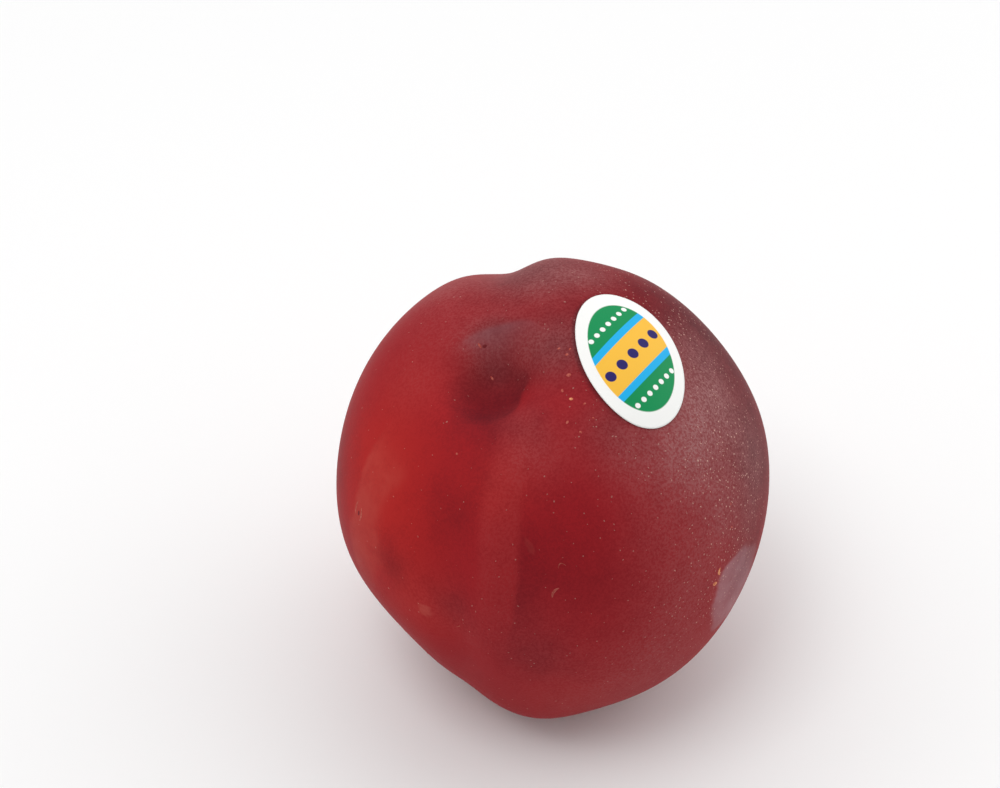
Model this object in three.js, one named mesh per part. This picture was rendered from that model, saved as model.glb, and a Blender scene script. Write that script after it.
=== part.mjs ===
// A nectarine, lying with its stem end up and leaning, on a small flat spot under it.
// Millimetres, +Z up. The origin is the middle of the flat spot, and the suture faces -Y.
// The fruit's own frame has its centre inside it, z along the stem axis and x towards the suture.

import * as THREE from "three";
import { mergeVertices } from "three/addons/utils/BufferGeometryUtils.js";

// The body, as half sizes about its centre
const SUTURE_HALF = 36.3;
const CHEEK_HALF = 34.4;
const STEM_HALF = 35.4;
const FULLNESS = 2.25;

// The hollow that the stem grew in
const HOLLOW_DEPTH = 5.4;
const HOLLOW_WIDTH = 11.5;
const HOLLOW_STEEPNESS = 2.8;
const HOLLOW_SKIRT_DEPTH = 1.4;
const HOLLOW_SKIRT_WIDTH = 20;
const HOLLOW_RIM = { height: 0.35, down: 17, width: 2.4, around: 176, reach: 32 };

// The suture: a fine crease, a wide dip on its right and a raised lip on its left
const CREASE = { depth: 0.4, width: 1.6, middle: 47, reach: 17 };
const DIP = { depth: 1.1, width: 6.5, offset: 6.0, middle: 58, reach: 25 };
const LIP = { height: 0.7, width: 3.6, offset: -4.0, middle: 44, reach: 26 };

// A shallow valley on the left cheek, and the fold on the back of the fruit
const VALLEY = { depth: 1.2, width: 4.5, middle: 72, reach: 36 };
const FOLD = { depth: 2.4, width: 6.0, middle: 50, reach: 26 };

// The blunt tip opposite the stem
const TIP = { height: 1.0, width: 7.0 };

// Swellings and flats: degrees down from the stem, degrees round from the suture, height, width in degrees
const SWELLINGS = [
  { down: 65, round: 157, height: -1.8, width: 9 },
  { down: 116, round: -18, height: 1.7, width: 13 },
  { down: 98, round: -54, height: -0.9, width: 16 },
  { down: 120, round: 57, height: -0.9, width: 26 },
  { down: 81, round: -80, height: 0.9, width: 20 },
  { down: 96, round: 104, height: 0.8, width: 20 },
  { down: 157, round: -50, height: -0.8, width: 26 },
  { down: 16, round: 62, height: -0.9, width: 7 },
];

// How the fruit lies: where its stem axis points, where its centre is, and how much of it is flattened
const STEM_AXIS = new THREE.Vector3(-0.293, -0.2454, 0.9241).normalize();
const FRONT = new THREE.Vector3(0, -1, 0);
const CENTRE = new THREE.Vector3(1.1, 2.1, 34.7);

// The label: an oval of paper on the right of the hollow
const LABEL_LONG_HALF = 13.1;
const LABEL_SHORT_HALF = 8.6;
const LABEL_THICKNESS = 0.25;
const LABEL_GAP = 0.1;
const LABEL_DOWN = 35.6;
const LABEL_ROUND = 93.3;
const LABEL_LENGTHWAYS = new THREE.Vector3(0.97, 0.22, -0.1);

// How finely the surfaces are divided
const BODY_ROUND = 92;
const BODY_DOWN = 46;
const BODY_CROWDING_TO_STEM = 1.2;
const BODY_CROWDING_TO_SEAMS = 0.28;
const LABEL_ROUND_STEPS = 40;
const LABEL_RINGS = 7;

const radians = THREE.MathUtils.degToRad;
const degrees = THREE.MathUtils.radToDeg;

// An angle in degrees brought to between -180 and 180.
function wrapped(angle) {
  return THREE.MathUtils.euclideanModulo(angle + 180, 360) - 180;
}

// The direction that is `down` degrees from the stem and `round` degrees from the suture.
function direction(down, round) {
  return new THREE.Vector3(
    Math.sin(radians(down)) * Math.cos(radians(round)),
    Math.sin(radians(down)) * Math.sin(radians(round)),
    Math.cos(radians(down)),
  );
}

// A bell curve: 1 at 0, falling away over `width`.
function bell(x, width) {
  return Math.exp(-((x / width) ** 2));
}

// Where the suture's crease runs: it leaves the hollow on the right and drifts left on its way down.
function sutureRound(down) {
  return 22 * bell(down - 14, 12) + 5 - 0.42 * (down - 36);
}

// Where the left cheek's valley runs.
function valleyRound(down) {
  return -25 - 0.3 * Math.max(down - 75, 0);
}

// The body without its grooves: half sizes joined by a slightly full oval rule.
function plainRadius(d) {
  const across = Math.hypot(d.x / SUTURE_HALF, d.y / CHEEK_HALF);
  const along = Math.abs(d.z / STEM_HALF);
  return (across ** FULLNESS + along ** FULLNESS) ** (-1 / FULLNESS);
}

// The distance from the centre to the skin in the direction d.
function skinRadius(d) {
  const down = degrees(Math.acos(THREE.MathUtils.clamp(d.z, -1, 1)));
  const round = degrees(Math.atan2(d.y, d.x));
  const plain = plainRadius(d);
  const arm = plain * Math.sin(radians(down));
  let radius = plain;

  radius -= HOLLOW_DEPTH * Math.exp(-((down / HOLLOW_WIDTH) ** HOLLOW_STEEPNESS));
  radius -= HOLLOW_SKIRT_DEPTH * bell(down, HOLLOW_SKIRT_WIDTH);
  const alongRim = bell(wrapped(round - HOLLOW_RIM.around), HOLLOW_RIM.reach);
  radius += HOLLOW_RIM.height * alongRim * bell(down - HOLLOW_RIM.down, HOLLOW_RIM.width);

  for (const s of SWELLINGS) {
    const apart = 1 - d.dot(direction(s.down, s.round));
    radius += s.height * Math.exp(-apart / (1 - Math.cos(radians(s.width))));
  }

  const fromSuture = arm * radians(wrapped(round - sutureRound(down)));
  const crease = CREASE.depth * Math.exp(-Math.abs(fromSuture) / CREASE.width);
  radius -= crease * bell(down - CREASE.middle, CREASE.reach);
  radius -= DIP.depth * bell(fromSuture - DIP.offset, DIP.width) * bell(down - DIP.middle, DIP.reach);
  radius += LIP.height * bell(fromSuture - LIP.offset, LIP.width) * bell(down - LIP.middle, LIP.reach);

  const fromValley = arm * radians(wrapped(round - valleyRound(down)));
  radius -= VALLEY.depth * bell(fromValley, VALLEY.width) * bell(down - VALLEY.middle, VALLEY.reach);

  const fromFold = arm * radians(wrapped(round - 180));
  radius -= FOLD.depth * bell(fromFold, FOLD.width) * bell(down - FOLD.middle, FOLD.reach);

  radius += TIP.height * bell(180 - down, TIP.width);
  return radius;
}

// The turn from the fruit's own frame to the part's.
function lyingTurn() {
  const suture = FRONT.clone().addScaledVector(STEM_AXIS, -FRONT.dot(STEM_AXIS)).normalize();
  const side = new THREE.Vector3().crossVectors(STEM_AXIS, suture);
  return new THREE.Quaternion().setFromRotationMatrix(
    new THREE.Matrix4().makeBasis(suture, side, STEM_AXIS),
  );
}

// A closed mesh geometry whose shared vertices are one, with `place` applied to each vertex and its uv.
function shaped(geometry, place) {
  const position = geometry.getAttribute("position");
  const uv = geometry.getAttribute("uv");
  const point = new THREE.Vector3();
  for (let i = 0; i < position.count; i++) {
    place(point.fromBufferAttribute(position, i), uv.getX(i), uv.getY(i));
    position.setXYZ(i, point.x, point.y, point.z);
  }
  geometry.deleteAttribute("normal");
  geometry.deleteAttribute("uv");
  const merged = mergeVertices(geometry, 1e-4);
  merged.computeVertexNormals();
  return merged;
}

// The fruit: a sphere whose rows crowd to the stem and whose columns crowd to the suture and the fold.
// Where it would reach below the ground it is pressed flat.
function fruitGeometry(turn) {
  const ground = new THREE.Vector3(0, 0, 1).applyQuaternion(turn.clone().invert());
  return shaped(new THREE.SphereGeometry(1, BODY_ROUND, BODY_DOWN), (point, u, v) => {
    const down = 180 * (1 - v) ** BODY_CROWDING_TO_STEM;
    const turned = 2 * Math.PI * u;
    const round = degrees(turned - BODY_CROWDING_TO_SEAMS * Math.sin(2 * turned));
    point.copy(direction(down, round));
    point.multiplyScalar(skinRadius(point));
    const height = point.dot(ground) + CENTRE.z;
    if (height < 0) point.addScaledVector(ground, -height);
  });
}

// The label: a thin oval slab, whose flat disc is laid on the skin and follows its curve.
// It starts as a squashed sphere: its upper half becomes the printed face, its lower half the sticky one.
function labelGeometry() {
  const middle = direction(LABEL_DOWN, LABEL_ROUND);
  const centre = middle.clone().multiplyScalar(skinRadius(middle));
  const long = LABEL_LENGTHWAYS.clone().addScaledVector(middle, -LABEL_LENGTHWAYS.dot(middle)).normalize();
  const short = new THREE.Vector3().crossVectors(middle, long);
  const rings = 2 * LABEL_RINGS + 1;
  return shaped(new THREE.SphereGeometry(1, LABEL_ROUND_STEPS, rings), (point, u, v) => {
    const ring = Math.round((1 - v) * rings);
    const top = ring <= LABEL_RINGS;
    const reach = (top ? ring : rings - ring) / LABEL_RINGS;
    const angle = 2 * Math.PI * u;
    point.copy(centre);
    point.addScaledVector(long, LABEL_LONG_HALF * reach * Math.cos(angle));
    point.addScaledVector(short, LABEL_SHORT_HALF * reach * Math.sin(angle));
    point.normalize();
    point.multiplyScalar(skinRadius(point) + LABEL_GAP + (top ? LABEL_THICKNESS : 0));
  });
}

const turn = lyingTurn();
const skin = new THREE.MeshStandardMaterial({ color: 0x8e2a2c, roughness: 0.42, metalness: 0 });
const paper = new THREE.MeshStandardMaterial({ color: 0xf2f1ec, roughness: 0.4, metalness: 0 });

const fruit = new THREE.Mesh(fruitGeometry(turn), skin);
fruit.name = "fruit";

const label = new THREE.Mesh(labelGeometry(), paper);
label.name = "label";

const nectarine = new THREE.Group();
nectarine.quaternion.copy(turn);
nectarine.position.copy(CENTRE);
nectarine.add(fruit, label);

const group = new THREE.Group();
group.add(nectarine);

export default group;
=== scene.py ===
# %% [markdown]
# A nectarine, dressed for its portrait. The frame holds a plain fruit and a plain label at their real size.
# This lesson makes a finer skin from the same formula, gives it the colours of a ripe fruit, and lays a thin
# paper label on it. Everything is in metres, with +Z up and the fruit lying on z = 0.

import bpy
import numpy as np
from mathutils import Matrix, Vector


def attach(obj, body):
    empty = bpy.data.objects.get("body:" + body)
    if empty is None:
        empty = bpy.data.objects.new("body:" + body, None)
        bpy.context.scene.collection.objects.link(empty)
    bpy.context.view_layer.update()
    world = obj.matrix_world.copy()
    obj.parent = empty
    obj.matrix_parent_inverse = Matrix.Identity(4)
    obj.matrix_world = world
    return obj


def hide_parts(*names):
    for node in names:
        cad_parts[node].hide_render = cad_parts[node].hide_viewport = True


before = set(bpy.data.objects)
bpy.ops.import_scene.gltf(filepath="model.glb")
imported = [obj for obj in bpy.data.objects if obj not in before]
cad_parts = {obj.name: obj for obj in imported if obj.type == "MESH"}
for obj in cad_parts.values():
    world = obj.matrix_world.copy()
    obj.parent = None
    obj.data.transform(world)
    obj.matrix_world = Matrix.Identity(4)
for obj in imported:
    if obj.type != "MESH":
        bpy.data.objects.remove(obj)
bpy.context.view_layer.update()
MM = 0.001

# %% [markdown]
# How the fruit lies. A nectarine has no flat base, so it rolls until it leans on a shoulder of its underside.
# Three facts give the pose: where the stem axis points, that the suture faces the front, and where the
# fruit's centre is above its rest spot. They could be an object's rotation, but then every pattern in object
# space would turn too, so the turn is worked into the vertices instead.

# %% The fruit's own axes
CENTRE = np.array([1.1, 2.1, 34.7]) * MM
FRONT = np.array([0.0, -1.0, 0.0])
STEM_AXIS = np.array([-0.293, -0.2454, 0.9241])
STEM_AXIS /= np.linalg.norm(STEM_AXIS)
SUTURE_AXIS = FRONT - FRONT.dot(STEM_AXIS) * STEM_AXIS
SUTURE_AXIS /= np.linalg.norm(SUTURE_AXIS)
SIDE_AXIS = np.cross(STEM_AXIS, SUTURE_AXIS)
TURN = np.stack([SUTURE_AXIS, SIDE_AXIS, STEM_AXIS])
LEAN = np.degrees(np.arccos(STEM_AXIS[2]))
print(f"the stem axis leans {LEAN:.1f} degrees")

# %% [markdown]
# The camera looks down on the fruit at 45 degrees through a long lens, as somebody does who photographs fruit
# on a table. It stands on the line from the fruit's centre and aims a little up and left of it, so that the
# fruit falls right of the middle and low in the frame without any lens shift.

# %% Camera
IMAGE_WIDTH = 1000
IMAGE_CENTRE = np.array([500.0, 394.0])
FRUIT_PIXEL = np.array([557.0, 480.5])
PIXELS_PER_MM = 6.1
LENS = 85.0
SENSOR = 36.0
ELEVATION = np.radians(45.0)
VIEW_RIGHT = np.array([1.0, 0.0, 0.0])
VIEW_UP = np.array([0.0, np.sin(ELEVATION), np.cos(ELEVATION)])
VIEW_BACK = np.array([0.0, -np.cos(ELEVATION), np.sin(ELEVATION)])


def make_camera():
    """The distance makes one millimetre at the fruit as many pixels as in the photograph."""
    distance = LENS / SENSOR * IMAGE_WIDTH / PIXELS_PER_MM * MM
    offset = (FRUIT_PIXEL - IMAGE_CENTRE) / PIXELS_PER_MM * MM
    aim = CENTRE - offset[0] * VIEW_RIGHT + offset[1] * VIEW_UP
    place = CENTRE + distance * VIEW_BACK
    data = bpy.data.cameras.new("camera")
    data.lens = LENS
    data.sensor_width = SENSOR
    camera = bpy.data.objects.new("camera", data)
    bpy.context.collection.objects.link(camera)
    camera.location = place
    camera.rotation_euler = Vector(aim - place).to_track_quat("-Z", "Y").to_euler()
    bpy.context.scene.camera = camera
    print(f"camera {distance / MM:.0f} mm from the fruit")


make_camera()

# %% [markdown]
# Material helpers. A node tree is easier to read as a formula, so two small helpers add a node, set its
# values and link its inputs in one line.

# %% Node helpers
def add(tree, kind, settings=None, **inputs):
    """Adds a node. An input is a value, or a socket to link. Underscores in a name stand for spaces."""
    node = tree.nodes.new(kind)
    for key, value in (settings or {}).items():
        setattr(node, key, value)
    for key, value in inputs.items():
        socket = node.inputs[int(key[1:]) if key[1:].isdigit() else key.replace("_", " ")]
        if isinstance(value, bpy.types.NodeSocket):
            tree.links.new(value, socket)
        else:
            socket.default_value = value
    return node


def maths(tree, operation, a, b=0.0, clamp=False):
    """One sum on two numbers."""
    settings = {"operation": operation, "use_clamp": clamp}
    return add(tree, "ShaderNodeMath", settings, _0=a, _1=b).outputs[0]


def blend(tree, amount, below, above):
    """The colour `above` laid over the colour `below`."""
    node = add(tree, "ShaderNodeMix", {"data_type": "RGBA"}, _0=amount, _6=below, _7=above)
    return node.outputs[2]


def ramp(tree, value, low, high, to_low=0.0, to_high=1.0):
    """A value between low and high brought to between to_low and to_high, smoothly at both ends."""
    settings = {"interpolation_type": "SMOOTHSTEP"}
    node = add(tree, "ShaderNodeMapRange", settings, _0=value, _1=low, _2=high, _3=to_low, _4=to_high)
    return node.outputs[0]


def noise(tree, coordinate, scale, detail=3.0, roughness=0.5):
    """Soft random blotches, about 1 / scale metres apart."""
    settings = {"noise_dimensions": "3D"}
    node = add(tree, "ShaderNodeTexNoise", settings, Vector=coordinate, Scale=scale, Detail=detail,
               Roughness=roughness)
    return node.outputs["Fac"]


def new_material(name):
    """A material with an empty tree, and its shader and output joined."""
    material = bpy.data.materials.new(name)
    material.use_nodes = True
    tree = material.node_tree
    tree.nodes.clear()
    shader = tree.nodes.new("ShaderNodeBsdfPrincipled")
    output = tree.nodes.new("ShaderNodeOutputMaterial")
    tree.links.new(shader.outputs[0], output.inputs[0])
    return material, tree, shader


# %% [markdown]
# The setting: a pale table in a bright room. Waxy fruit skin mirrors softly, so what it mirrors matters as
# much as what lights it. The middle of the fruit mirrors whoever holds the camera, so the room is darkened
# there, and the rims mirror the nearly white table. Two large soft lights shape it from above and the right.

# %% Floor
FLOOR_HALF = 1.6
FLOOR_DROP = 0.05 * MM
FLOOR_COLOUR = (0.92, 0.92, 0.92, 1.0)
FLOOR_SHADE = (0.90, 0.90, 0.90, 1.0)


def make_floor():
    """A flat square of four corners, a hair below the fruit so that the two never share a plane."""
    corners = np.array([[-1, -1, 0], [1, -1, 0], [1, 1, 0], [-1, 1, 0]]) * FLOOR_HALF
    corners[:, 2] = -FLOOR_DROP
    mesh = bpy.data.meshes.new("floor")
    mesh.from_pydata(corners.tolist(), [], [(0, 1, 2, 3)])
    material, tree, shader = new_material("pale_table")
    coordinate = tree.nodes.new("ShaderNodeTexCoord").outputs["Object"]
    cloud = noise(tree, coordinate, 3.0)
    tree.links.new(blend(tree, cloud, FLOOR_COLOUR, FLOOR_SHADE), shader.inputs["Base Color"])
    shader.inputs["Roughness"].default_value = 0.8
    mesh.materials.append(material)
    floor = bpy.data.objects.new("floor", mesh)
    bpy.context.collection.objects.link(floor)
    print(f"floor: {2 * FLOOR_HALF} m square")


make_floor()

# %% [markdown]
# The light. A room sends light from all sides, and lamps alone would leave the fruit's rims black. One sky
# does it: brighter overhead, as under a pale ceiling, and dimmer towards the camera. Two soft boxes add the
# form: one stands behind on the right, as a window does, and one hangs over the fruit.

# %% Lights
def make_light(name, place, size, power):
    """A square soft box that faces the fruit."""
    data = bpy.data.lights.new(name, "AREA")
    data.shape = "SQUARE"
    data.size = size
    data.energy = power
    light = bpy.data.objects.new(name, data)
    light.location = place
    light.rotation_euler = Vector(CENTRE - np.array(place)).to_track_quat("-Z", "Y").to_euler()
    bpy.context.collection.objects.link(light)


TO_VIEWER = (0.0, -0.64, 0.77)
SKY_LEVEL, SKY_OVERHEAD = 0.56, 1.42
SKY_AT_VIEWER = 0.3


def make_sky():
    """Light from all round: it grows with height, times a factor that drops towards the viewer."""
    world = bpy.data.worlds.new("room")
    bpy.context.scene.world = world
    world.use_nodes = True
    tree = world.node_tree
    direction = tree.nodes.new("ShaderNodeTexCoord").outputs["Generated"]
    settings = {"operation": "DOT_PRODUCT"}
    towards = add(tree, "ShaderNodeVectorMath", settings, _0=direction, _1=TO_VIEWER).outputs["Value"]
    height = add(tree, "ShaderNodeSeparateXYZ", None, Vector=direction).outputs["Z"]
    sky = ramp(tree, height, 0.0, 0.8, SKY_LEVEL, SKY_OVERHEAD)
    strength = maths(tree, "MULTIPLY", sky, ramp(tree, towards, 0.4, 0.9, 1.0, SKY_AT_VIEWER))
    tree.links.new(strength, tree.nodes["Background"].inputs["Strength"])
    tree.nodes["Background"].inputs["Color"].default_value = (1.0, 1.0, 1.0, 1.0)


make_sky()
make_light("window", (0.75, 0.35, 0.35), 0.6, 1.1)
make_light("ceiling", (-0.3, -0.3, 1.0), 0.5, 2.9)
bpy.context.scene.view_settings.view_transform = "Standard"

# %% [markdown]
# The shape of the fruit is one formula: how far the skin is from the centre in each direction. A direction
# is given by degrees down from the stem and degrees round from the suture, as latitude and longitude are on
# a globe. Sculpting could do it too, but a formula can be read, and the label and the colours can use it.

# %% Bell curves and directions
def bell(x, width):
    """1 at 0, falling away over width: e to the power of minus (x / width) squared."""
    return np.exp(-((x / width) ** 2))


def wrapped(angle):
    """An angle in degrees brought to between -180 and 180."""
    return (angle + 180.0) % 360.0 - 180.0


def direction(down, around):
    """The unit vector at these degrees, in the fruit's own axes: x to the suture, z to the stem."""
    down, around = np.radians(down), np.radians(around)
    x = np.sin(down) * np.cos(around)
    y = np.sin(down) * np.sin(around)
    return np.stack([x, y, np.cos(down) + 0 * around], axis=-1)


def swell(d, down, around, width):
    """A round patch: 1 in the middle, falling away over `width` degrees, as a bell on a ball does."""
    apart = 1.0 - d @ direction(down, around)
    return np.exp(-apart / (1.0 - np.cos(np.radians(width))))


# %% [markdown]
# The body is a slightly full oval: half sizes joined by a power a little over 2. On it come the hollow that
# the stem grew in, the suture with a dip on its right and a raised lip on its left, a shallow valley on the
# left cheek, a fold on the back, a blunt tip, and a few swellings and flats.

# %% Sizes of the body: half sizes, then swellings and flats as degrees down, round, height in mm, width
SUTURE_HALF = 36.3 * MM
CHEEK_HALF = 34.4 * MM
STEM_HALF = 35.4 * MM
FULLNESS = 2.25
SWELLINGS = [
    (65, 157, -1.8, 9),
    (116, -18, 1.7, 13),
    (98, -54, -0.9, 16),
    (120, 57, -0.9, 26),
    (81, -80, 0.9, 20),
    (96, 104, 0.8, 20),
    (157, -50, -0.8, 26),
    (16, 62, -0.9, 7),
]
TIP = {"height": 1.0, "width": 7.0}
print(f"half sizes: {SUTURE_HALF / MM:.1f}, {CHEEK_HALF / MM:.1f} and {STEM_HALF / MM:.1f} mm")

# %% [markdown]
# Grooves and ridges run down the fruit along lines, as a river and its banks do on a map. Each line gives
# its degrees round for any degrees down, and a bell across the line makes the groove. Widths and depths are
# in millimetres, so a groove stays as wide near the stem, where the degrees crowd together.

# %% Grooves and ridges
SUTURE_BEND = {"round": 22.0, "down": 14.0, "width": 12.0}
SUTURE_DRIFT = {"round": 5.0, "down": 36.0, "slope": 0.42}
VALLEY_LINE = {"round": -25.0, "down": 75.0, "slope": 0.3}
FOLD_ROUND = 180.0
CREASE = {"depth": 0.45, "width": 1.1, "middle": 47.0, "reach": 17.0}
DIP = {"depth": 1.1, "width": 6.5, "offset": 6.0, "middle": 58.0, "reach": 25.0}
LIP = {"height": 0.7, "width": 3.6, "offset": -4.0, "middle": 44.0, "reach": 26.0}
VALLEY = {"depth": 1.2, "width": 4.5, "middle": 72.0, "reach": 36.0}
FOLD = {"depth": 2.4, "width": 6.0, "middle": 50.0, "reach": 26.0}


def suture_round(down):
    """The crease leaves the hollow on the right by a bell, and drifts left on its way down by a slope."""
    bend = SUTURE_BEND["round"] * bell(down - SUTURE_BEND["down"], SUTURE_BEND["width"])
    return bend + SUTURE_DRIFT["round"] - SUTURE_DRIFT["slope"] * (down - SUTURE_DRIFT["down"])


def valley_round(down):
    """The left cheek's valley keeps to one meridian, then bends away from the tip."""
    return VALLEY_LINE["round"] - VALLEY_LINE["slope"] * np.maximum(down - VALLEY_LINE["down"], 0.0)


def groove(across, down, form):
    """A bell across times a bell along: `across` in metres from the line, `down` in degrees."""
    offset = form.get("offset", 0.0) * MM
    amount = form.get("depth", form.get("height")) * MM
    along = bell(down - form["middle"], form["reach"])
    return amount * bell(across - offset, form["width"] * MM) * along


print(f"the suture runs from {suture_round(14.0):.1f} to {suture_round(90.0):.1f} degrees round")

# %% [markdown]
# The stem grew in a hollow, and the flesh swelled up round it. A ball pushed into the top would leave a round
# bowl, but the real hollow has steep sides, a shallow skirt, and a low ridge along its far rim. A bell curve
# with a power above 2 has such a flat floor and steep sides.

# %% The stem's hollow
PIT = {"depth": 5.4, "width": 11.5, "steepness": 2.8}
SKIRT = {"depth": 1.4, "width": 20.0}
HOLLOW_RIM = {"height": 0.35, "down": 17.0, "width": 2.4, "around": 176.0, "reach": 32.0}


def hollow(down, around):
    """A pit with steep sides and a shallow skirt, less a low ridge along its far rim."""
    pit = PIT["depth"] * np.exp(-((down / PIT["width"]) ** PIT["steepness"]))
    skirt = SKIRT["depth"] * bell(down, SKIRT["width"])
    rim = HOLLOW_RIM["height"] * bell(wrapped(around - HOLLOW_RIM["around"]), HOLLOW_RIM["reach"])
    return (pit + skirt - rim * bell(down - HOLLOW_RIM["down"], HOLLOW_RIM["width"])) * MM


print(f"the hollow is {hollow(0.0, 0.0) / MM:.1f} mm deep")

# %% [markdown]
# Now everything is added up to one distance. The grooves are found by how far a point is from their lines, in
# metres: the degrees between them times the length of the arm that swings round the stem axis there.

# %% The skin's distance from the centre
def angles(d):
    """Degrees down from the stem and round from the suture of each unit vector."""
    down = np.degrees(np.arccos(np.clip(d[..., 2], -1.0, 1.0)))
    return down, np.degrees(np.arctan2(d[..., 1], d[..., 0]))


def plain_radius(d):
    """An oval whose half sizes are joined by a power a little over 2."""
    across = np.hypot(d[..., 0] / SUTURE_HALF, d[..., 1] / CHEEK_HALF)
    along = np.abs(d[..., 2] / STEM_HALF)
    return (across**FULLNESS + along**FULLNESS) ** (-1.0 / FULLNESS)


def skin_radius(d):
    """Plain oval, less the hollow and the grooves, plus the swellings; d holds unit vectors."""
    down, around = angles(d)
    plain = plain_radius(d)
    arm = plain * np.sin(np.radians(down))
    radius = plain - hollow(down, around)
    for place_down, place_round, height, width in SWELLINGS:
        radius = radius + height * MM * swell(d, place_down, place_round, width)
    from_suture = arm * np.radians(wrapped(around - suture_round(down)))
    from_valley = arm * np.radians(wrapped(around - valley_round(down)))
    from_fold = arm * np.radians(wrapped(around - FOLD_ROUND))
    crease = CREASE["depth"] * MM * np.exp(-np.abs(from_suture) / (CREASE["width"] * MM))
    radius = radius - crease * bell(down - CREASE["middle"], CREASE["reach"])
    radius = radius - groove(from_suture, down, DIP) + groove(from_suture, down, LIP)
    radius = radius - groove(from_valley, down, VALLEY) - groove(from_fold, down, FOLD)
    return radius + TIP["height"] * MM * bell(180.0 - down, TIP["width"])


def to_part(points):
    """From the fruit's own axes to the part's, resting on the floor."""
    return points @ TURN + CENTRE


for seen_from, at in (("suture", (90.0, 0.0)), ("cheek", (90.0, 90.0)), ("tip", (180.0, 0.0))):
    print(f"skin to centre at the {seen_from}: {skin_radius(direction(*at)) / MM:.1f} mm")

# %% [markdown]
# A ball of rows and columns is the plainest grid for the skin. Its rows crowd to the stem and its columns
# to the suture and the back fold, where the shape is finest. Each pole is a single point with a fan of
# triangles, so the surface is closed. Where the skin would dip below the table it is pressed flat.

# %% Skin mesh
SKIN_ROWS = 280
SKIN_COLUMNS = 336
CROWD_TO_STEM = 1.2
CROWD_TO_SEAMS = 0.28


def skin_directions():
    """Rows of directions from just below the stem to just above the tip, then the two poles."""
    row = np.arange(1, SKIN_ROWS) / SKIN_ROWS
    column = 2.0 * np.pi * np.arange(SKIN_COLUMNS) / SKIN_COLUMNS
    down = 180.0 * row**CROWD_TO_STEM
    around = np.degrees(column - CROWD_TO_SEAMS * np.sin(2.0 * column))
    grid = direction(down[:, None], around[None, :]).reshape(-1, 3)
    return np.vstack([grid, [[0.0, 0.0, 1.0], [0.0, 0.0, -1.0]]])


def ball_faces(rows, columns):
    """Quads between neighbouring rows, and the two fans of triangles at the poles, all facing out."""
    r, c = np.meshgrid(np.arange(rows - 1), np.arange(columns), indexing="ij")
    after = (c + 1) % columns
    a, b = r * columns + c, r * columns + after
    quads = np.stack([a, a + columns, b + columns, b], axis=-1).reshape(-1, 4)
    c = np.arange(columns)
    after = (c + 1) % columns
    top, base = rows * columns, (rows - 1) * columns
    head = np.stack([np.full(columns, top), c, after], axis=-1)
    foot = np.stack([np.full(columns, top + 1), base + after, base + c], axis=-1)
    return quads, np.vstack([head, foot])


def make_object(name, points, faces, material):
    """A smooth mesh object at the origin, from points and from arrays of quads and of triangles."""
    quads, triangles = faces
    mesh = bpy.data.meshes.new(name)
    mesh.from_pydata(points.tolist(), [], quads.tolist() + triangles.tolist())
    mesh.polygons.foreach_set("use_smooth", [True] * len(mesh.polygons))
    mesh.materials.append(material)
    piece = bpy.data.objects.new(name, mesh)
    bpy.context.collection.objects.link(piece)
    return piece


print(f"skin grid: {SKIN_ROWS} rows and {SKIN_COLUMNS} columns")

# %% [markdown]
# The colours of a ripe nectarine are laid down in layers. The ground is a deep crimson. Where the sun and
# the thin skin let it, it is a brighter red, and towards the shaded cheek it is a dark maroon. The same
# maroon is laid in and round the stem's hollow as painted shade. Over that lies a bloom, a dull grey-pink
# veil of wax, which on the rims and where the window would be mirrored is also painted sheen. Each layer is
# a number between 0 and 1 on every vertex, made of soft round patches, so it follows the fruit's form from
# all sides.

# %% Layers of colour as soft patches: degrees down, degrees round, width in degrees, amount
BRIGHT = [
    (40, -66, 22, 0.75),
    (52, -50, 16, 0.5),
    (66, -36, 12, 0.45),
    (30, -3, 9, 0.4),
    (26, 26, 9, 0.1),
    (22, -98, 10, 0.2),
    (100, -2, 16, 0.2),
    (84, 172, 16, 0.3),
    (112, -128, 14, 0.3),
]
DARK = [
    # The rows at 14 to 19 degrees down, in and round the stem's hollow, are painted shade.
    (14, 176, 6, 0.28),
    (15.5, 3, 5.5, 0.5),
    (15, -33, 5, 0.35),
    (18, 27, 6, 0.28),
    (27, -7, 6, 0.2),
    (36, 58, 8, 0.26),
    (19, 108, 9, 0.5),
    (38, 165, 15, 0.65),
    (64, 112, 34, 0.9),
    (84, 82, 20, 0.8),
    (100, 58, 12, 0.5),
    (56, -88, 12, 0.3),
    (56, -45, 6, 0.35),
    (62, -24, 6, 0.35),
    (38, -22, 8, 0.25),
    (62, 20, 12, 0.15),
    (79, -4, 9, 0.32),
    (104, -158, 20, 0.4),
    (132, 140, 20, 0.35),
]
# Bloom is the skin's wax, and on the rims and where the window would be mirrored it is also painted sheen.
BLOOM = [
    (55, 66, 13, 0.5),
    (55, 97, 12, 0.38),
    (72, 82, 14, 0.22),
    (60, 84, 8, 0.34),
    (42, 50, 8, 0.1),
    (73, 58, 9, 0.2),
    (58, 40, 9, 0.06),
    (12, -165, 7, 0.16),
    (13, 130, 5, 0.12),
    (14, 166, 6, 0.06),
    (17, 30, 6, 0.04),
    (19, 104, 10, 0.18),
    (21, -100, 10, 0.05),
    (33, 55, 8, 0.08),
    (26, -155, 14, 0.08),
    (30, 155, 8, 0.12),
    (40, 143, 8, 0.22),
    (42, -160, 9, 0.2),
    (38, 163, 12, 0.2),
    (52, 170, 11, 0.24),
    (50, 80, 7, 0.26),
    (82, 78, 13, 0.24),
    (88, 64, 9, 0.2),
    (26, 22, 8, 0.09),
    (72, -6, 14, 0.05),
    (66, -33, 12, 0.05),
    (78, 42, 15, 0.17),
    (99, 26, 20, 0.16),
    (108, 0, 22, 0.09),
    (62, 172, 18, 0.2),
    (120, 180, 45, 0.3),
]
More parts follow.
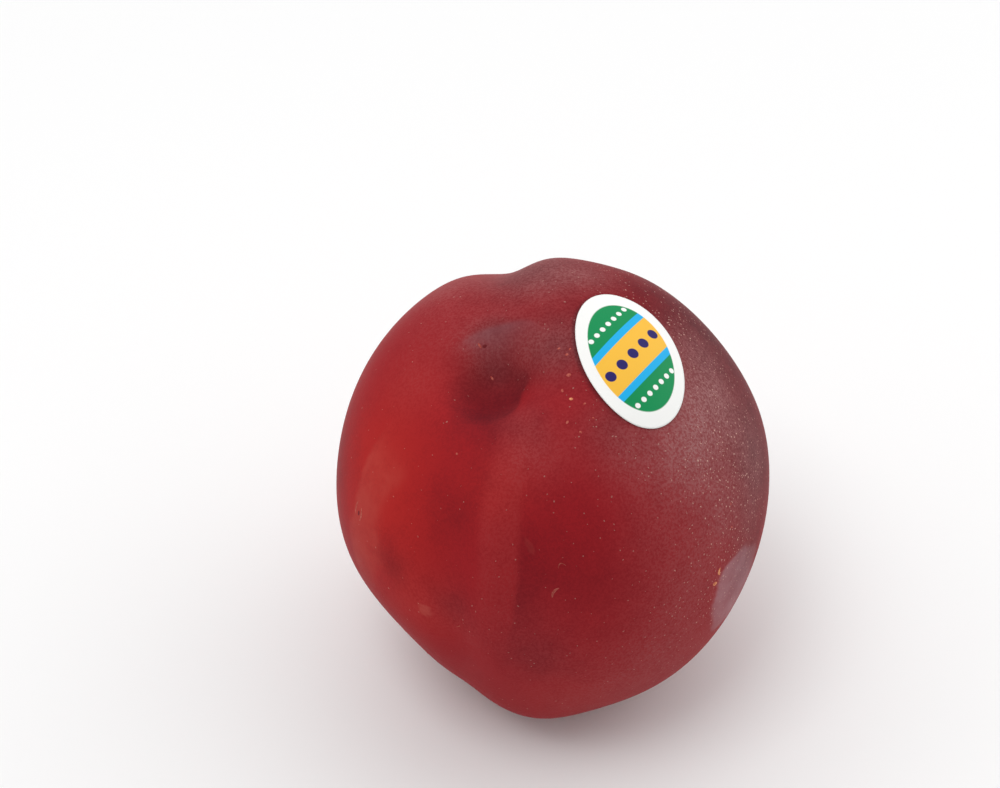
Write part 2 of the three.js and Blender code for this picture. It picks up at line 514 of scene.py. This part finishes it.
DOTS = [
    (74, 72, 22, 1.0),
    (95, 44, 20, 0.5),
    (58, 122, 24, 0.6),
    (50, 108, 12, 0.5),
    (30, 62, 10, 0.2),
    (75, 20, 50, 0.06),
    (60, 0, 90, 0.02),
    (120, 180, 60, 0.3),
]


def layer(d, patches):
    """Patches laid over each other: 1 less the product of what each leaves bare."""
    bare = np.ones(len(d))
    for down, around, width, amount in patches:
        bare = bare * (1.0 - amount * swell(d, down, around, width))
    return 1.0 - bare


def store(piece, name, values):
    """Keeps one number for each vertex on the mesh, for the material to read."""
    attribute = piece.data.attributes.new(name, "FLOAT", "POINT")
    attribute.data.foreach_set("value", np.asarray(values, dtype=np.float32))


print("patches:", len(BRIGHT), "bright,", len(DARK), "dark,", len(BLOOM), "of bloom,", len(DOTS), "of dots")

# %% [markdown]
# Flat ovals laid on the skin make the label and the corky marks. Each of their points is placed on a flat
# oval first and then pushed along its own direction to just above the skin, so that it follows the curve.
# A shrinkwrap could do the same, but here the surface is a formula, and a formula can be asked directly.

# %% Ovals laid on the skin
def tangents(down, around, lengthways):
    """A spot on the skin, and the long and short directions there, square to the radius."""
    middle = direction(np.array(down), np.array(around))
    long = np.array(lengthways) - np.dot(lengthways, middle) * middle
    long /= np.linalg.norm(long)
    return middle * skin_radius(middle), long, np.cross(middle, long)


def laid(axes, x, y, lift):
    """Points x along and y across a flat sheet at the spot, brought to `lift` above the skin."""
    middle, long, short = axes
    flat = middle + x[..., None] * long + y[..., None] * short
    d = flat / np.linalg.norm(flat, axis=-1, keepdims=True)
    return to_part(d * (skin_radius(d) + lift)[..., None])


def oval_grid(rings, steps):
    """Reach, angle and side of a flat oval's points: rings out over its top and back under it, then the
    middle of its top and of its underside."""
    ring = np.arange(1, rings + 1) / rings
    angle = 2.0 * np.pi * np.arange(steps) / steps
    reach, angle = np.meshgrid(np.concatenate([ring, ring[::-1]]), angle, indexing="ij")
    top = np.append(np.repeat([True, False], rings * steps), [True, False])
    return np.append(reach.ravel(), [0.0, 0.0]), np.append(angle.ravel(), [0.0, 0.0]), top


# %% [markdown]
# The label is an oval of coated paper, 25 mm long. Its edge never quite sticks: along the lower left it
# stands off the fruit by a hair and throws a thin dark line, which is what tells the eye that it is paper.

# %% Label outline and surface
LABEL_LONG_HALF = 13.1 * MM
LABEL_SHORT_HALF = 8.6 * MM
LABEL_DOWN = 35.6
LABEL_ROUND = 93.3
LABEL_LENGTHWAYS = (0.97, 0.22, -0.1)
LABEL_LIFT = 0.06 * MM
LABEL_CURL = 0.32 * MM
LABEL_CURL_TO = np.radians(250.0)
LABEL_THICKNESS = 0.12 * MM
LABEL_RINGS = 40
LABEL_STEPS = 160


def laid_length(half_x, half_y):
    """How long a straight line across the label is once it is laid on the skin."""
    along = np.linspace(-1.0, 1.0, 101)
    axes = tangents(LABEL_DOWN, LABEL_ROUND, LABEL_LENGTHWAYS)
    line = laid(axes, half_x * along, half_y * along, LABEL_LIFT)
    return np.linalg.norm(np.diff(line, axis=0), axis=1).sum()


lengths = laid_length(LABEL_LONG_HALF, 0.0) / MM, laid_length(0.0, LABEL_SHORT_HALF) / MM
print("the label, laid flat, is {:.1f} by {:.1f} mm".format(*lengths))

# %% [markdown]
# Some things on the skin have an edge. Beside the suture the colour drops suddenly into painted shade on
# the wall turned from the light, as if the fruit had been folded there, and the raised lip beside it is
# painted lighter. The pit of the hollow is painted darker than its walls, as shade over its deeper skin,
# and its far rim carries a band of painted light greyed with wax. And where the skin would mirror the
# table, a painted reflection ends at a line. All are worked out in the same degrees and millimetres as the
# shape, so they sit where it does.

# %% Painted shade and light along the suture
def step(x, softness):
    """0 below nought and 1 above it, over a stretch of about `softness`."""
    return 1.0 / (1.0 + np.exp(-np.clip(4.0 * x / softness, -60.0, 60.0)))


def across_suture(d):
    """Degrees down, and millimetres to the right of the suture's line."""
    down, around = angles(d)
    arm = plain_radius(d) * np.sin(np.radians(down)) / MM
    return down, arm * np.radians(wrapped(around - suture_round(down)))


def painted_suture_shade(d):
    """Painted shade on the suture's right wall, from 40 to 70 degrees down, fading over a centimetre."""
    down, across = across_suture(d)
    return step(across, 0.7) * np.exp(-np.maximum(across, 0.0) / 7.0) * bell(down - 55.0, 15.0)


def lit_lip(d):
    """The raised lip left of the suture, for painted light: 6 mm wide, with an edge on both sides."""
    down, across = across_suture(d)
    return step(across + 6.0, 1.6) * step(-across, 1.2) * bell(down - 42.0, 24.0)


# %% Painted shade and light in the hollow
def painted_pit_shade(d):
    """Painted shade over the hollow's darker middle: darkest on the near right, where its edge is crispest.

    Its edge is 11 degrees down, 3.4 more on the near side, and 4 less in a notch on the right.
    """
    down, around = angles(d)
    near_side = 3.4 * np.cos(np.radians(around + 22.0))
    notch = 4.0 * bell(wrapped(around - 55.0), 28.0)
    edge = 11.0 + near_side - notch
    softness = 3.0 - 1.8 * np.cos(np.radians(around - 50.0))
    darkest = 0.6 + 0.4 * swell(d, 8.0, 5.0, 10.0)
    return step(edge - down, softness) * darkest


def far_band_light_and_wax(d):
    """A band of painted light and grey wax under the hollow's far rim, crisp on top, fading into the hollow.

    Its top is 15.2 degrees down, and 2.5 more on the far right, and it fades out 36 degrees to each side.
    """
    down, around = angles(d)
    inside = 15.2 + 2.5 * bell(wrapped(around - 138.0), 22.0) - down
    along = np.exp(-((wrapped(around - 175.0) / 36.0) ** 4))
    return step(inside, 1.0) * np.exp(-np.maximum(inside, 0.0) / 4.0) * along


# %% [markdown]
# Two pale patches are painted reflections of the pale table, one low on the right and one on the left
# cheek, the latter with two small rosy spots. Such a patch could be painted on an image, but the skin would
# have to be unwrapped first. An oval in degrees with a slow wave along its rim does for a round one, and soft
# steps do for one that ends at a line.

# %% Painted reflections and spots: degrees down and round, half sizes and turn in degrees
LILAC = (102.0, 51.5, 13.5, 12.0, 0.0)
ROSY_SPOT = (66.0, -33.5, 2.0, 2.0, 0.0)
ROSY_STREAK = (46.0, 4.5, 2.2, 0.8, 10.0)


def patch(d, down, around, long_half, short_half, turn):
    """An oval with a wavy rim, in degrees, turned from the line that runs down the fruit."""
    middle = direction(np.array(down), np.array(around))
    south = direction(np.array(down + 90.0), np.array(around))
    east = np.cross(south, middle)
    ahead = np.maximum(d @ middle, 0.05)
    x, y = np.degrees(d @ south / ahead), -np.degrees(d @ east / ahead)
    c, s = np.cos(np.radians(turn)), np.sin(np.radians(turn))
    u, v = (c * x + s * y) / long_half, (c * y - s * x) / short_half
    swing = np.arctan2(v, u)
    reach = np.hypot(u, v) + 0.07 * np.sin(3.0 * swing + 1.0) + 0.04 * np.sin(7.0 * swing)
    return step(1.0 - reach, 0.08) * (d @ middle > 0.0)


def lilac(d):
    """A painted reflection of the table, low on the right, in lilac grey; it fades away from the front."""
    down, around = angles(d)
    return patch(d, *LILAC) * (1.0 - 0.75 * step(around - 60.0, 9.0))


def rosy(d):
    """A painted reflection of the table on the left cheek, with a sharp left edge, and two small rosy spots.

    Its left edge slants by 0.47 of a degree for each degree down, and its right edge is a soft wave.
    """
    down, around = angles(d)
    left = step(around + 74.5 - 0.47 * (down - 38.5) + 5.0 * step(down - 57.0, 6.0), 1.2)
    wave = 2.5 * np.sin(np.radians(down) * 14.0)
    right = step(-53.0 + wave - around, 5.0) * step(down - 34.0, 8.0) * step(74.0 - down, 8.0)
    spots = np.maximum(patch(d, *ROSY_SPOT), 0.4 * patch(d, *ROSY_STREAK))
    return np.maximum(0.75 * left * right, spots)


# %% [markdown]
# Where the label's edge stands off the skin, the skin beside it is in its shade. The gap is thinner than the
# shadow of a soft light can show, so the skin carries a dark line there, widest where the edge is loosest.

# %% The label's shade
def label_shade(d):
    """The dark line along the label's loose edge, at its left and lower left.

    `beyond` is in tenths of the label's half sizes, measured outwards from its edge.
    """
    middle, long, short = tangents(LABEL_DOWN, LABEL_ROUND, LABEL_LENGTHWAYS)
    flat = d * (middle @ middle / np.maximum(d @ middle, 0.01 * MM))[:, None] - middle
    x, y = flat @ long / LABEL_LONG_HALF, flat @ short / LABEL_SHORT_HALF
    beyond = (np.hypot(x, y) - 1.0) * 10.0
    loose = 0.3 + 0.7 * np.maximum(np.cos(np.arctan2(y, x) - LABEL_CURL_TO), 0.0)
    return step(0.6 * loose - beyond, 0.3) * loose * (d @ middle > 0.0)


# %% [markdown]
# The material stacks these layers as a painter does, each laid over what is below it by the number stored
# on the skin. A real skin is never airbrushed, and its bloom is a powder. So noise in object space breaks
# every layer up, in three sizes: clouds as wide as a finger, mottles of a few millimetres, and fine grains.

# %% Skin colours and grain: each painted light and wax with its share where it is thin and where it is thick
GROUND = (0.30, 0.014, 0.019, 1.0)
BRIGHT_RED = (0.45, 0.023, 0.020, 1.0)
# Maroon of the shaded cheek, and the colour of the painted shade in the hollow, by the suture and by the
# label.
MAROON_AND_SHADE = (0.09, 0.009, 0.014, 1.0)
# Grey-pink of the wax bloom, which is also the colour of painted sheen.
BLOOM_AND_SHEEN_PINK = (0.36, 0.18, 0.18, 1.0)
# Grey of the band of painted light and wax on the hollow's far wall.
BAND_LIGHT_AND_WAX = (0.22, 0.14, 0.16, 1.0)
# Lilac grey of a painted reflection of the table.
LILAC_REFLECTION = (0.42, 0.29, 0.32, 1.0)
# Pale rose of a painted reflection on the left cheek, and of two small spots.
ROSE_REFLECTION_AND_SPOTS = (0.55, 0.15, 0.11, 1.0)
DOT_PALE = (0.80, 0.48, 0.40, 1.0)
# The band is painted light with grey wax; the lilac and rosy patches are painted reflections.
LIGHT_AND_WAX_PATCHES = [
    ("band", 0.28, 0.42, BAND_LIGHT_AND_WAX),
    ("lilac", 0.3, 0.46, LILAC_REFLECTION),
    ("rosy", 0.12, 0.24, ROSE_REFLECTION_AND_SPOTS),
]
CLOUDS_PER_METRE = 70.0
MOTTLES_PER_METRE = 260.0
GRAINS_PER_METRE = 2400.0
GRAIN_RELIEF = 0.4
BUMP_STRENGTH, BUMP_HEIGHT = 0.7, 0.1 * MM
SKIN_IOR = 1.07


def stored(tree, name):
    """The number kept on each vertex under this name."""
    return add(tree, "ShaderNodeAttribute", {"attribute_name": name}).outputs["Fac"]


# %% [markdown]
# A nectarine breathes through pores, which show as pale dots, dense on one cheek and sparse elsewhere. An
# image or scattered discs could draw them. A Voronoi texture needs neither: it splits space into random
# cells, each with a centre and random numbers of its own, and these say whether a dot shows there and how
# big it is.

# %% Pores
PORES_PER_METRE = 2000.0
PORE_SIZES = (0.12, 0.36)
PORE_WANDER = 0.4 * MM


def pale_dots(tree, coordinate):
    """The skin's breathing pores: one in each cell of a random honeycomb, of all sizes, not quite round.

    A cell shows its dot only where its own random number is below the density stored on the skin.
    """
    ragged = add(tree, "ShaderNodeTexNoise", None, Vector=coordinate, Scale=GRAINS_PER_METRE)
    shift = add(tree, "ShaderNodeVectorMath", {"operation": "SUBTRACT"}, _0=ragged.outputs["Color"],
                _1=(0.5, 0.5, 0.5))
    moved = add(tree, "ShaderNodeVectorMath", {"operation": "MULTIPLY_ADD"}, _0=shift.outputs["Vector"],
                _1=(PORE_WANDER,) * 3, _2=coordinate).outputs["Vector"]
    cells = add(tree, "ShaderNodeTexVoronoi", {"feature": "F1"}, Vector=moved, Scale=PORES_PER_METRE)
    chance = add(tree, "ShaderNodeSeparateColor", None, Color=cells.outputs["Color"])
    shown = maths(tree, "LESS_THAN", chance.outputs["Red"], stored(tree, "dots"))
    size = ramp(tree, chance.outputs["Green"], 0.2, 1.0, *PORE_SIZES)
    dot = ramp(tree, maths(tree, "DIVIDE", cells.outputs["Distance"], size), 1.0, 0.4)
    return maths(tree, "MULTIPLY", dot, shown)


# %% Skin material
def skin_material():
    """Ground, bright red, maroon, bloom, painted shade, light and reflections, pale dots, one over the other.
    """
    material, tree, shader = new_material("nectarine_skin")
    coordinate = tree.nodes.new("ShaderNodeTexCoord").outputs["Object"]
    clouds = noise(tree, coordinate, CLOUDS_PER_METRE, 4.0, 0.55)
    mottle = noise(tree, coordinate, MOTTLES_PER_METRE, 4.0, 0.6)
    grains = noise(tree, coordinate, GRAINS_PER_METRE, 3.0, 0.7)
    bright = maths(tree, "MULTIPLY", stored(tree, "bright"), ramp(tree, clouds, 0.25, 0.6, 0.75, 1.05))
    colour = blend(tree, bright, GROUND, BRIGHT_RED)
    patchy = ramp(tree, mottle, 0.3, 0.7, 0.06, -0.06)
    grainy = ramp(tree, grains, 0.4, 0.6, 0.07, -0.07)
    dark = maths(tree, "ADD", stored(tree, "dark"), maths(tree, "ADD", patchy, grainy), clamp=True)
    # The dark layer lays the maroon and the painted shade alike.
    colour = blend(tree, dark, colour, MAROON_AND_SHADE)
    fine = ramp(tree, grains, 0.4, 0.6, 0.6, 1.4)
    powder = maths(tree, "MULTIPLY", fine, ramp(tree, mottle, 0.3, 0.7, 0.85, 1.1))
    bloom = maths(tree, "MULTIPLY", stored(tree, "bloom"), powder, clamp=True)
    # The bloom laid here is wax and painted sheen together.
    colour = blend(tree, bloom, colour, BLOOM_AND_SHEEN_PINK)
    # Overlays of painted light and reflection, each thinner or thicker with the mottle.
    for name, thin, thick, tint in LIGHT_AND_WAX_PATCHES:
        amount = maths(tree, "MULTIPLY", stored(tree, name), ramp(tree, mottle, 0.3, 0.7, thin, thick))
        colour = blend(tree, amount, colour, tint)
    dots = pale_dots(tree, coordinate)
    paleness = maths(tree, "MULTIPLY", dots, ramp(tree, stored(tree, "dots"), 0.0, 1.0, 0.26, 0.85))
    colour = blend(tree, paleness, colour, DOT_PALE)
    tree.links.new(colour, shader.inputs["Base Color"])
    tree.links.new(ramp(tree, bloom, 0.0, 0.7, 0.44, 0.6), shader.inputs["Roughness"])
    height = maths(tree, "ADD", maths(tree, "MULTIPLY", grains, GRAIN_RELIEF), dots)
    bump = add(tree, "ShaderNodeBump", None, Strength=BUMP_STRENGTH, Distance=BUMP_HEIGHT, Height=height)
    tree.links.new(bump.outputs["Normal"], shader.inputs["Normal"])
    shader.inputs["IOR"].default_value = SKIN_IOR
    return material


# %% [markdown]
# Now the skin is made. Darkness, the maroon and the painted shade beside the suture, in the hollow and
# along the label's edge, is worked out as what each shade leaves bare, multiplied together, so that two
# shades over each other never add up to more than black. The raised lip is spared most of it and given a
# little bright red and bloom, as painted light and sheen. Each layer is a number on every vertex, which
# costs no image and no unwrapping.

# %% Make the skin
SUTURE_SHADE, PIT_SHADE, LABEL_SHADE = 0.42, 0.72, 0.7
# On the raised lip: less dark, more bright red and more bloom, as painted light and sheen on the ridge.
LIT_LIP_SPARES, LIP_PAINTED_LIGHT, LIP_PAINTED_SHEEN = 0.7, 0.15, 0.05


def make_skin():
    """The fine skin, its layers of colour with their painted light and shade, and its material."""
    d = skin_directions()
    points = to_part(d * skin_radius(d)[:, None])
    points[:, 2] = np.maximum(points[:, 2], 0.0)
    skin = make_object("fruit_skin", points, ball_faces(SKIN_ROWS - 1, SKIN_COLUMNS), skin_material())
    lip = lit_lip(d)
    # Darkness here is the maroon layer with painted shade beside the suture, in the hollow and by the label.
    bare = (1.0 - layer(d, DARK)) * (1.0 - SUTURE_SHADE * painted_suture_shade(d))
    bare = bare * (1.0 - PIT_SHADE * painted_pit_shade(d)) * (1.0 - LABEL_SHADE * label_shade(d))
    # The lip's lines lay painted light and sheen on the ridge.
    store(skin, "dark", (1.0 - bare) * (1.0 - LIT_LIP_SPARES * lip))
    store(skin, "bright", 1.0 - (1.0 - layer(d, BRIGHT)) * (1.0 - LIP_PAINTED_LIGHT * lip))
    store(skin, "bloom", 1.0 - (1.0 - layer(d, BLOOM)) * (1.0 - LIP_PAINTED_SHEEN * lip))
    store(skin, "band", far_band_light_and_wax(d))
    store(skin, "dots", layer(d, DOTS))
    store(skin, "lilac", lilac(d))
    store(skin, "rosy", rosy(d))
    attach(skin, "root")
    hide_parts("fruit")
    print(f"skin: {len(points)} points, {np.ptp(points, axis=0) / MM} mm")


make_skin()

# %% [markdown]
# The marks are where a twig or a leaf scratched the young fruit: thin slivers, a few of them bent into a c,
# a fraction of a millimetre proud of the skin. Some are dry and russet, some grown over and rose, a few have
# all but faded, and a few are dark specks. Bump alone would vanish from the side, so each is a lens of its
# own, whose edges sink into the skin.

# %% Where the marks are: degrees down and round, length and width in mm, bend, turn in degrees, tone
RUSSET, ROSE, FAINT, SHADE = 0.0, 1.0, 1.4, 2.0
MARKS = [
    (86.0, 47.6, 1.6, 0.7, -0.9, 150, RUSSET),
    (88.0, 45.0, 1.2, 0.8, 0.2, 40, RUSSET),
    (22.5, 60.5, 0.7, 0.5, 0.0, 20, RUSSET),
    (19.5, 65.0, 0.7, 0.4, 0.0, 120, ROSE),
    (20.0, 78.0, 0.8, 0.6, 0.0, 0, ROSE),
    (19.5, 95.0, 0.55, 0.45, 0.0, 0, ROSE),
    (20.5, 99.0, 0.5, 0.35, 0.0, 40, ROSE),
    (18.0, 102.5, 0.5, 0.35, 0.0, 0, ROSE),
    (25.0, 46.0, 0.7, 0.4, 0.0, 100, ROSE),
    (26.0, 60.5, 0.5, 0.35, 0.0, 60, ROSE),
    (29.0, 46.0, 0.5, 0.4, 0.0, 0, ROSE),
    (29.5, 55.5, 0.4, 0.3, 0.0, 0, ROSE),
    (23.0, -27.5, 0.4, 0.4, 0.0, 0, ROSE),
    (69.0, -24.0, 1.0, 0.16, 0.2, 120, ROSE),
    (80.0, 58.0, 0.7, 0.3, 0.3, 30, ROSE),
    (75.0, 62.0, 0.6, 0.25, 0.3, 120, ROSE),
    (59.0, 6.5, 2.3, 0.5, -0.8, 130, FAINT),
    (52.5, 11.5, 1.5, 0.22, -2.4, 90, FAINT),
    (52.5, -67.2, 2.9, 0.4, 0.5, 8, ROSE),
    (52.5, -63.2, 2.9, 0.4, -0.5, 8, ROSE),
    (52.9, -64.8, 1.0, 0.6, 0.0, 8, SHADE),
    (5.5, -149.5, 0.7, 0.35, 0.0, 0, ROSE),
    (12.5, -161.5, 0.8, 0.35, 0.0, 10, ROSE),
    (12.0, -167.0, 0.8, 0.45, 0.0, 90, SHADE),
    (95.0, 150.0, 2.2, 0.4, 0.5, 100, RUSSET),
    (80.0, -140.0, 1.4, 0.3, 0.4, 20, RUSSET),
]
print(len(MARKS), "marks, the longest", max(mark[2] for mark in MARKS), "mm")

# %% The shape of a mark
MARK_PROUD = 0.05 * MM
MARK_SUNK = 0.04 * MM
MARK_RINGS = 6
MARK_STEPS = 20


def mark_points(down, around, length, width, bend, turn):
    """A lens-shaped sliver: an oval whose long axis is bent to a parabola, highest in the middle."""
    south = direction(np.array(down + 90.0), np.array(around))
    middle = direction(np.array(down), np.array(around))
    east = np.cross(middle, south)
    lengthways = np.cos(np.radians(turn)) * south + np.sin(np.radians(turn)) * east
    reach, angle, top = oval_grid(MARK_RINGS, MARK_STEPS)
    length, width = length * MM, width * MM
    x = 0.5 * length * reach * np.cos(angle)
    y = 0.5 * width * reach * np.sin(angle) + bend * length * (x / length) ** 2
    lift = np.where(top, MARK_PROUD * (1.0 - reach**2), 0.0) - MARK_SUNK * (~top | (reach == 1.0))
    return laid(tangents(down, around, lengthways), x, y, lift)


# %% Colours of the marks
CORK_DARK, CORK_PALE = (0.50, 0.13, 0.07, 1.0), (0.78, 0.34, 0.16, 1.0)
GROWN_DARK, GROWN_PALE = (0.38, 0.06, 0.045, 1.0), (0.50, 0.13, 0.10, 1.0)
SPECK_DARK = (0.16, 0.018, 0.022, 1.0)
BLOTCHES_PER_METRE = 2500.0


def mark_material():
    """Dry russet cork, grown-over rose or dark, by the tone stored on each mark."""
    material, tree, shader = new_material("scarred_skin")
    coordinate = tree.nodes.new("ShaderNodeTexCoord").outputs["Object"]
    blotch = ramp(tree, noise(tree, coordinate, BLOTCHES_PER_METRE), 0.35, 0.65)
    cork = blend(tree, blotch, CORK_DARK, CORK_PALE)
    grown = blend(tree, blotch, GROWN_DARK, GROWN_PALE)
    tone = stored(tree, "tone")
    colour = blend(tree, ramp(tree, tone, RUSSET, ROSE), cork, grown)
    colour = blend(tree, ramp(tree, tone, ROSE, SHADE), colour, SPECK_DARK)
    tree.links.new(colour, shader.inputs["Base Color"])
    shader.inputs["Roughness"].default_value = 0.7
    shader.inputs["IOR"].default_value = 1.15
    return material


# %% Make the marks
def make_marks():
    """All marks in one mesh: each is a small closed lens, whose faces count on from the one before."""
    lenses = np.array([mark_points(*mark[:6]) for mark in MARKS])
    count = lenses.shape[1]
    quads, triangles = ball_faces(2 * MARK_RINGS, MARK_STEPS)
    first = count * np.arange(len(MARKS))[:, None, None]
    faces = (quads + first).reshape(-1, 4), (triangles + first).reshape(-1, 3)
    marks = make_object("skin_marks", lenses.reshape(-1, 3), faces, mark_material())
    store(marks, "tone", np.repeat([mark[6] for mark in MARKS], count))
    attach(marks, "root")
    print(f"marks: {len(MARKS)}, {len(marks.data.polygons)} faces")


make_marks()

# %% [markdown]
# The print on the label is a plain pattern worked out in millimetres from its middle: a green oval with a
# slanting yellow sash edged in blue, blue spots along the sash and small white ones on the green.

# %% Colours and sizes of the print: sizes in mm from the label's middle
GREEN = (0.0, 0.26, 0.08, 1.0)
BLUE = (0.010, 0.42, 0.80, 1.0)
YELLOW = (0.90, 0.50, 0.05, 1.0)
NAVY = (0.02, 0.012, 0.13, 1.0)
PAPER = (0.90, 0.90, 0.88, 1.0)
SASH_TURN = np.radians(37.0)
SASH_HALF = 2.94
EDGING_HALF = 4.14
SASH_SPOTS = {"row": 0.0, "spacing": 3.0, "size": 0.9, "shift": 0.0}
GREEN_SPOTS = {"row": 6.1, "spacing": 1.6, "size": 0.45, "shift": 2.1}
INK_BLUR = 0.06
PRINT_REACH = 0.78
PRINT_BLUR = 0.01
PAPER_IOR = 1.25
print(f"the sash is {2 * SASH_HALF:.1f} mm wide, with its edging {2 * EDGING_HALF:.1f} mm")

# %% Rows of spots
def spots(tree, across, along, row, spacing, size, shift):
    """Round spots in a row on each side of the sash, the two rows shifted opposite ways: 1 inside them."""
    off = maths(tree, "SUBTRACT", maths(tree, "ABSOLUTE", across), row)
    there = maths(tree, "ADD", maths(tree, "MULTIPLY", along, maths(tree, "SIGN", across)), shift)
    beside = maths(tree, "PINGPONG", there, 0.5 * spacing)
    squares = maths(tree, "ADD", maths(tree, "POWER", off, 2.0), maths(tree, "POWER", beside, 2.0))
    return ramp(tree, maths(tree, "SQRT", squares), size + INK_BLUR, size - INK_BLUR)


# %% Label material
def label_material():
    """White coated paper with its print: the label's own UV map, from -1 to 1, turned with the sash."""
    material, tree, shader = new_material("label_print")
    uv = tree.nodes.new("ShaderNodeUVMap").outputs["UV"]
    spread = {"Location": (-1.0, -1.0, 0.0), "Scale": (2.0, 2.0, 1.0)}
    centred = add(tree, "ShaderNodeMapping", None, Vector=uv, **spread).outputs[0]
    reach = add(tree, "ShaderNodeVectorMath", {"operation": "LENGTH"}, _0=centred).outputs["Value"]
    split = add(tree, "ShaderNodeSeparateXYZ", None, Vector=centred)
    x = maths(tree, "MULTIPLY", split.outputs["X"], LABEL_LONG_HALF / MM)
    y = maths(tree, "MULTIPLY", split.outputs["Y"], LABEL_SHORT_HALF / MM)
    c, s = np.cos(SASH_TURN), np.sin(SASH_TURN)
    across = maths(tree, "ADD", maths(tree, "MULTIPLY", x, c), maths(tree, "MULTIPLY", y, s))
    along = maths(tree, "SUBTRACT", maths(tree, "MULTIPLY", y, c), maths(tree, "MULTIPLY", x, s))
    away = maths(tree, "ABSOLUTE", across)
    edging = ramp(tree, away, EDGING_HALF + INK_BLUR, EDGING_HALF - INK_BLUR)
    sash = ramp(tree, away, SASH_HALF + INK_BLUR, SASH_HALF - INK_BLUR)
    colour = blend(tree, edging, GREEN, BLUE)
    colour = blend(tree, sash, colour, YELLOW)
    colour = blend(tree, spots(tree, across, along, **SASH_SPOTS), colour, NAVY)
    colour = blend(tree, spots(tree, across, along, **GREEN_SPOTS), colour, PAPER)
    printed = ramp(tree, reach, PRINT_REACH + PRINT_BLUR, PRINT_REACH - PRINT_BLUR)
    colour = blend(tree, printed, PAPER, colour)
    tree.links.new(colour, shader.inputs["Base Color"])
    shader.inputs["Roughness"].default_value = 0.38
    shader.inputs["IOR"].default_value = PAPER_IOR
    return material


# %% [markdown]
# The label itself is a thin slab. A sheet with a Solidify modifier could be one. Here one grid makes both
# faces, and the slab comes out closed: its rings run out over the top and back under it. Each point is given
# its distance from the skin, so that the edge lifts on one side while the rest sticks.

# %% Make the label
CURL_STARTS = 0.7


def make_label():
    """Top face, bottom face and a rim between them, closed at both middles.

    The curl grows with the square of the reach beyond where it starts, and is greatest towards one side.
    """
    reach, angle, top = oval_grid(LABEL_RINGS, LABEL_STEPS)
    beyond = np.maximum(reach - CURL_STARTS, 0.0) / (1.0 - CURL_STARTS)
    curl = LABEL_CURL * beyond**2 * np.maximum(np.cos(angle - LABEL_CURL_TO), 0.0)
    lift = LABEL_LIFT + curl + np.where(top, LABEL_THICKNESS, 0.0)
    x, y = LABEL_LONG_HALF * reach * np.cos(angle), LABEL_SHORT_HALF * reach * np.sin(angle)
    points = laid(tangents(LABEL_DOWN, LABEL_ROUND, LABEL_LENGTHWAYS), x, y, lift)
    label = make_object("label_paper", points, ball_faces(2 * LABEL_RINGS, LABEL_STEPS), label_material())
    uv = np.stack([reach * np.cos(angle), reach * np.sin(angle)], axis=-1) * 0.5 + 0.5
    corner = np.empty(len(label.data.loops), dtype=np.int32)
    label.data.loops.foreach_get("vertex_index", corner)
    label.data.uv_layers.new(name="print").data.foreach_set("uv", uv[corner].ravel().astype(np.float32))
    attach(label, "root")
    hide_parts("label")
    print(f"label: {len(points)} points, {np.ptp(points, axis=0) / MM} mm")


make_label()
